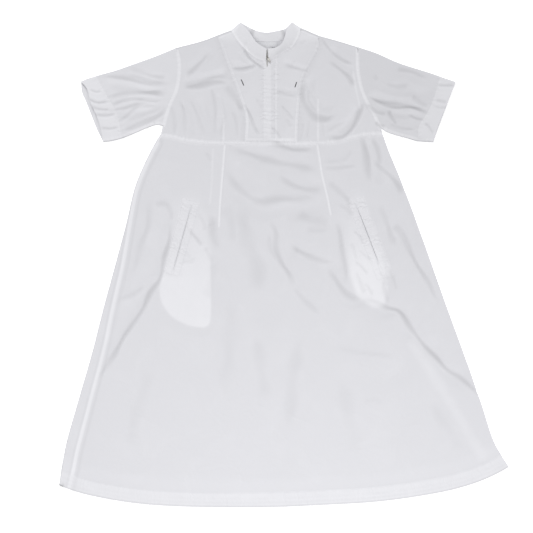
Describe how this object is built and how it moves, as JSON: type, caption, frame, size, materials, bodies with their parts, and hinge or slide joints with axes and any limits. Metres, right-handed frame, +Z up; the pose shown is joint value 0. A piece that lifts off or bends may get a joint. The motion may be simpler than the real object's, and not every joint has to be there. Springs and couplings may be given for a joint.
{
  "type": "half-zip dress",
  "caption": "Long loose cotton dress laid flat, with a stand collar, a half zip in a bib panel, short wide sleeves, a flared skirt and slanted slit pockets.",
  "frame": {"origin": "middle of the bounding box's underside, where the laid dress rests", "axes": "+Y along the dress from hem to collar, +X to the right seen from above (the wearer's left), +Z up out of the front"},
  "size_m": [1.0298, 1.1141, 0.0107],
  "materials": {
    "cotton": "thin white woven cotton, matt and slightly see-through",
    "tape": "woven zip tape",
    "label": "smooth woven label, blank",
    "metal": "dark satin metal"
  },
  "bodies": {
    "dress": {"skirt_front": "cotton", "skirt_back": "cotton", "bodice_back": "cotton", "side_front_left": "cotton", "side_front_right": "cotton", "bib_left": "cotton", "bib_right": "cotton", "sleeve_left": "cotton", "sleeve_right": "cotton", "collar": "cotton", "pocket_bag_left": "cotton", "pocket_bag_right": "cotton", "pocket_facing_left": "cotton", "pocket_facing_right": "cotton", "zip_tape_left": "tape", "zip_tape_right": "tape", "zip_slider": "metal", "label": "label", "size_tag": "label"},
    "pull": {"zip_pull": "metal"}
  },
  "joints": [
    {"name": "pull_hinge", "type": "hinge", "parent": "dress", "child": "pull", "pos_m": [-0.0369, 0.476, 0.00635], "axis": [-0.866, -0.5, 0], "range_deg": [0, 150]}
  ]
}
